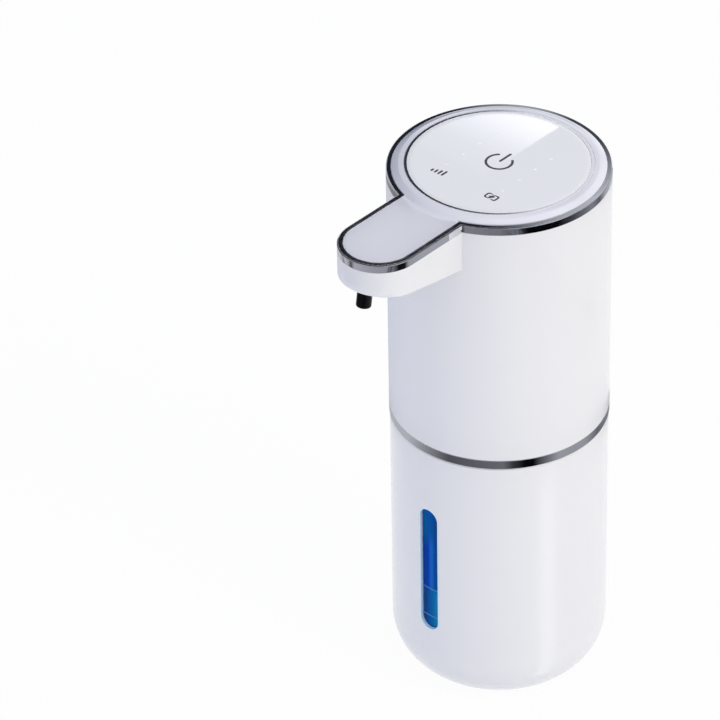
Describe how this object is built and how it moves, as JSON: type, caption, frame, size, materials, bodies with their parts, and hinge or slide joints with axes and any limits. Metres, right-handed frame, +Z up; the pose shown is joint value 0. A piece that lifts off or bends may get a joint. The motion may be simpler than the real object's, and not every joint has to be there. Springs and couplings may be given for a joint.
{
  "type": "soap dispenser",
  "caption": "Automatic foaming soap dispenser: a round two-part body with a flat spout, a twist-off refill bottle with a level window, a touch panel on top and a hook-on wall plate behind.",
  "frame": {"origin": "centre of the round base, on the surface it stands on", "axes": "+Z up along the body, -Y towards the spout, +Y towards the wall, +X to the user's right when facing the spout"},
  "size_m": [0.073, 0.1139, 0.1983],
  "materials": {
    "white_shell": "glossy injection moulded ABS",
    "clear_tank": "clear blue-tinted moulded PET",
    "grey_rubber": "matt silicone",
    "white_rubber": "matt white silicone",
    "black_rubber": "matt",
    "chrome_trim": "chrome plated ABS, polished",
    "pale_cover": "glossy pale grey ABS",
    "white_panel": "glossy hard-coated acrylic",
    "light_pipe": "clear polished",
    "green_board": "solder mask",
    "white_inner": "satin ABS",
    "grey_plastic": "satin",
    "black_plastic": "satin",
    "steel": "zinc plated",
    "cell_can": "shrink sleeved cell",
    "ferrite": "ferrite",
    "brass": "turned",
    "clear_hose": "clear silicone",
    "adhesive_foam": "foam tape"
  },
  "bodies": {
    "head": {"upper_housing": "white_shell", "mid_band": "chrome_trim", "rim_trim": "chrome_trim", "top_cover": "pale_cover", "panel_ring": "chrome_trim", "touch_panel": "white_panel", "status_leds": "light_pipe", "led_board": "green_board", "chassis": "white_inner", "chassis_screws": "steel", "vent_valve": "grey_rubber", "battery_cell": "cell_can", "main_board": "green_board", "board_parts": "black_plastic", "usb_socket": "steel", "plug_anchor": "white_rubber", "pump_head": "grey_plastic", "valve_plate": "grey_plastic", "diaphragm": "black_rubber", "pump_case": "grey_plastic", "pump_screws": "steel", "motor_case": "steel", "motor_magnets": "ferrite", "motor_endcap": "black_plastic", "dip_tube": "clear_hose", "inlet_filter": "white_inner", "foam_tube": "clear_hose", "nozzle": "black_plastic", "nozzle_holder": "white_inner", "nozzle_mesh": "steel", "sensor_window": "black_plastic", "ir_pair": "light_pipe", "sensor_board": "green_board"},
    "bottle": {"bottle_jacket": "white_shell", "tank_liner": "clear_tank", "foot_pad": "grey_rubber"},
    "seal": {"neck_gasket": "grey_rubber"},
    "rotor": {"motor_shaft": "steel", "motor_armature": "steel", "crank_wheel": "brass"},
    "rocker": {"rocker_plate": "black_plastic", "rocker_pin": "steel"},
    "plug": {"port_plug": "white_rubber"},
    "wall_mount": {"wall_plate": "white_inner", "adhesive_pad": "adhesive_foam"}
  },
  "joints": [
    {"name": "bottle_drop", "type": "slide", "parent": "head", "child": "seal", "axis": [0, 0, -1], "range_m": [0, 0.002]},
    {"name": "bottle_twist", "type": "hinge", "parent": "seal", "child": "bottle", "pos_m": [0, 0, 0], "axis": [0, 0, -1], "range_deg": [0, 60]},
    {"name": "port_flap", "type": "hinge", "parent": "head", "child": "plug", "pos_m": [0, 0.03582, 0.1805], "axis": [1, 0, 0], "range_deg": [0, 110]},
    {"name": "wall_release", "type": "slide", "parent": "head", "child": "wall_mount", "axis": [0, 0, -1], "range_m": [0, 0.014]},
    {"name": "rotor_spin", "type": "hinge", "parent": "head", "child": "rotor", "pos_m": [-0.01252, -0.00448, 0.1412], "axis": [0, 0, 1], "continuous": true},
    {"name": "rocker_wobble", "type": "hinge", "parent": "rotor", "child": "rocker", "pos_m": [-0.01252, -0.00448, 0.12975], "axis": [0.1045, 0, 0.9945], "continuous": true}
  ],
  "couplings": [
    {"joint": "bottle_twist", "follows": "bottle_drop", "rad_per_m": 523.6},
    {"joint": "rocker_wobble", "follows": "rotor_spin", "ratio": -1}
  ]
}
